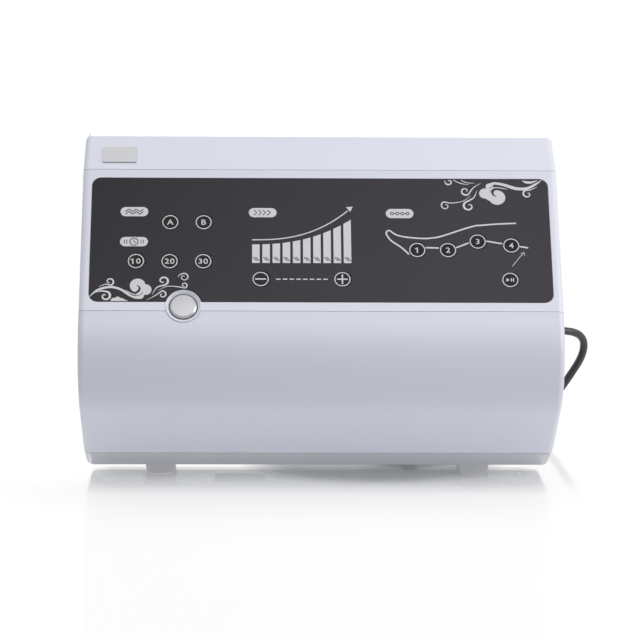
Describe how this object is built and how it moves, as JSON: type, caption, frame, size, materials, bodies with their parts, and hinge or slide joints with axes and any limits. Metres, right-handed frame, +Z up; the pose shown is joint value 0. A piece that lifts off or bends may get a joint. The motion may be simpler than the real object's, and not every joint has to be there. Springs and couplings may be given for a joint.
{
  "type": "compression therapy pump",
  "caption": "Wedge-shaped table pump for compression garments, with a sloping key panel, round power button, rear hose ports, rubber feet and a coiled mains lead.",
  "frame": {"origin": "on the surface it stands on, under the middle of the unit's own box without its mains lead", "axes": "+X along the width, to the right as the user sees it; +Y to the rear; +Z up"},
  "size_m": [0.4166, 0.3154, 0.2671],
  "materials": {
    "pearl_white": "pale blue-white moulded shell, soft gloss",
    "panel_black": "dark charcoal membrane with pale printing",
    "soft_silver": "silver-coated plastic, satin",
    "rubber_grey": "matte dark rubber",
    "cord_black": "semi-matte black cord jacket",
    "board_green": "solder-masked circuit board",
    "part_black": "black moulded plastic",
    "cast_metal": "as cast",
    "steel": "plated steel",
    "copper": "enamelled copper wire",
    "nickel": "nickel-plated pins",
    "tube_clear": "milky silicone tube",
    "moulded_grey": "grey moulded plastic"
  },
  "bodies": {
    "case": {"front_case": "pearl_white", "panel_bezel": "pearl_white", "base_tray": "pearl_white", "rear_cover": "pearl_white", "graphic_overlay": "panel_black", "blank_badge": "soft_silver", "power_switch": "part_black", "control_board": "board_green", "rubber_foot_left_front": "rubber_grey", "rubber_foot_left_rear": "rubber_grey", "rubber_foot_right_front": "rubber_grey", "rubber_foot_right_rear": "rubber_grey", "base_screw_left_front": "steel", "base_screw_left_rear": "steel", "base_screw_right_front": "steel", "base_screw_right_rear": "steel", "rear_screw_left_low": "steel", "rear_screw_left_high": "steel", "rear_screw_right_low": "steel", "rear_screw_right_high": "steel", "pump_body": "cast_metal", "pump_head_left": "part_black", "pump_head_right": "part_black", "pump_coil_lower": "copper", "pump_coil_upper": "copper", "pump_mount_left": "rubber_grey", "pump_mount_right": "rubber_grey", "valve_block": "moulded_grey", "solenoid_bank": "part_black", "hose_ports": "moulded_grey", "air_supply_tube": "tube_clear", "power_board": "board_green", "transformer_core": "steel", "transformer_winding": "copper", "ribbon_cable": "moulded_grey", "fuse_holder": "part_black", "cord_gland": "cord_black", "power_cord": "cord_black", "power_cord_coil": "cord_black", "cord_tie": "part_black", "plug_body": "cord_black", "plug_pins": "nickel"},
    "mode_a": {"key_mode_a": "panel_black"},
    "mode_b": {"key_mode_b": "panel_black"},
    "time_10": {"key_time_10": "panel_black"},
    "time_20": {"key_time_20": "panel_black"},
    "time_30": {"key_time_30": "panel_black"},
    "pressure_down": {"key_pressure_down": "panel_black"},
    "pressure_up": {"key_pressure_up": "panel_black"},
    "position_1": {"key_position_1": "panel_black"},
    "position_2": {"key_position_2": "panel_black"},
    "position_3": {"key_position_3": "panel_black"},
    "position_4": {"key_position_4": "panel_black"},
    "start": {"key_start": "panel_black"},
    "power": {"power_button": "soft_silver"},
    "armature": {"pump_armature": "steel"},
    "plunger_1": {"valve_plunger_1": "steel"},
    "plunger_2": {"valve_plunger_2": "steel"},
    "plunger_3": {"valve_plunger_3": "steel"},
    "plunger_4": {"valve_plunger_4": "steel"}
  },
  "joints": [
    {"name": "mode_a_press", "type": "slide", "parent": "case", "child": "mode_a", "axis": [0, 0.7997, -0.6004], "range_m": [0, 0.00045], "stiffness_N_per_m": 1200},
    {"name": "mode_b_press", "type": "slide", "parent": "case", "child": "mode_b", "axis": [0, 0.7997, -0.6004], "range_m": [0, 0.00045], "stiffness_N_per_m": 1200},
    {"name": "time_10_press", "type": "slide", "parent": "case", "child": "time_10", "axis": [0, 0.7997, -0.6004], "range_m": [0, 0.00045], "stiffness_N_per_m": 1200},
    {"name": "time_20_press", "type": "slide", "parent": "case", "child": "time_20", "axis": [0, 0.7997, -0.6004], "range_m": [0, 0.00045], "stiffness_N_per_m": 1200},
    {"name": "time_30_press", "type": "slide", "parent": "case", "child": "time_30", "axis": [0, 0.7997, -0.6004], "range_m": [0, 0.00045], "stiffness_N_per_m": 1200},
    {"name": "pressure_down_press", "type": "slide", "parent": "case", "child": "pressure_down", "axis": [0, 0.7997, -0.6004], "range_m": [0, 0.00045], "stiffness_N_per_m": 1200},
    {"name": "pressure_up_press", "type": "slide", "parent": "case", "child": "pressure_up", "axis": [0, 0.7997, -0.6004], "range_m": [0, 0.00045], "stiffness_N_per_m": 1200},
    {"name": "position_1_press", "type": "slide", "parent": "case", "child": "position_1", "axis": [0, 0.7997, -0.6004], "range_m": [0, 0.00045], "stiffness_N_per_m": 1200},
    {"name": "position_2_press", "type": "slide", "parent": "case", "child": "position_2", "axis": [0, 0.7997, -0.6004], "range_m": [0, 0.00045], "stiffness_N_per_m": 1200},
    {"name": "position_3_press", "type": "slide", "parent": "case", "child": "position_3", "axis": [0, 0.7997, -0.6004], "range_m": [0, 0.00045], "stiffness_N_per_m": 1200},
    {"name": "position_4_press", "type": "slide", "parent": "case", "child": "position_4", "axis": [0, 0.7997, -0.6004], "range_m": [0, 0.00045], "stiffness_N_per_m": 1200},
    {"name": "start_press", "type": "slide", "parent": "case", "child": "start", "axis": [0, 0.7997, -0.6004], "range_m": [0, 0.00045], "stiffness_N_per_m": 1200},
    {"name": "power_press", "type": "slide", "parent": "case", "child": "power", "axis": [0, 0.7997, -0.6004], "range_m": [0, 0.0025], "stiffness_N_per_m": 800},
    {"name": "armature_swing", "type": "slide", "parent": "case", "child": "armature", "axis": [1, 0, 0], "range_m": [-0.0012, 0.0012], "stiffness_N_per_m": 2000},
    {"name": "plunger_1_lift", "type": "slide", "parent": "case", "child": "plunger_1", "axis": [0, 0, 1], "range_m": [0, 0.0018], "stiffness_N_per_m": 500},
    {"name": "plunger_2_lift", "type": "slide", "parent": "case", "child": "plunger_2", "axis": [0, 0, 1], "range_m": [0, 0.0018], "stiffness_N_per_m": 500},
    {"name": "plunger_3_lift", "type": "slide", "parent": "case", "child": "plunger_3", "axis": [0, 0, 1], "range_m": [0, 0.0018], "stiffness_N_per_m": 500},
    {"name": "plunger_4_lift", "type": "slide", "parent": "case", "child": "plunger_4", "axis": [0, 0, 1], "range_m": [0, 0.0018], "stiffness_N_per_m": 500}
  ]
}
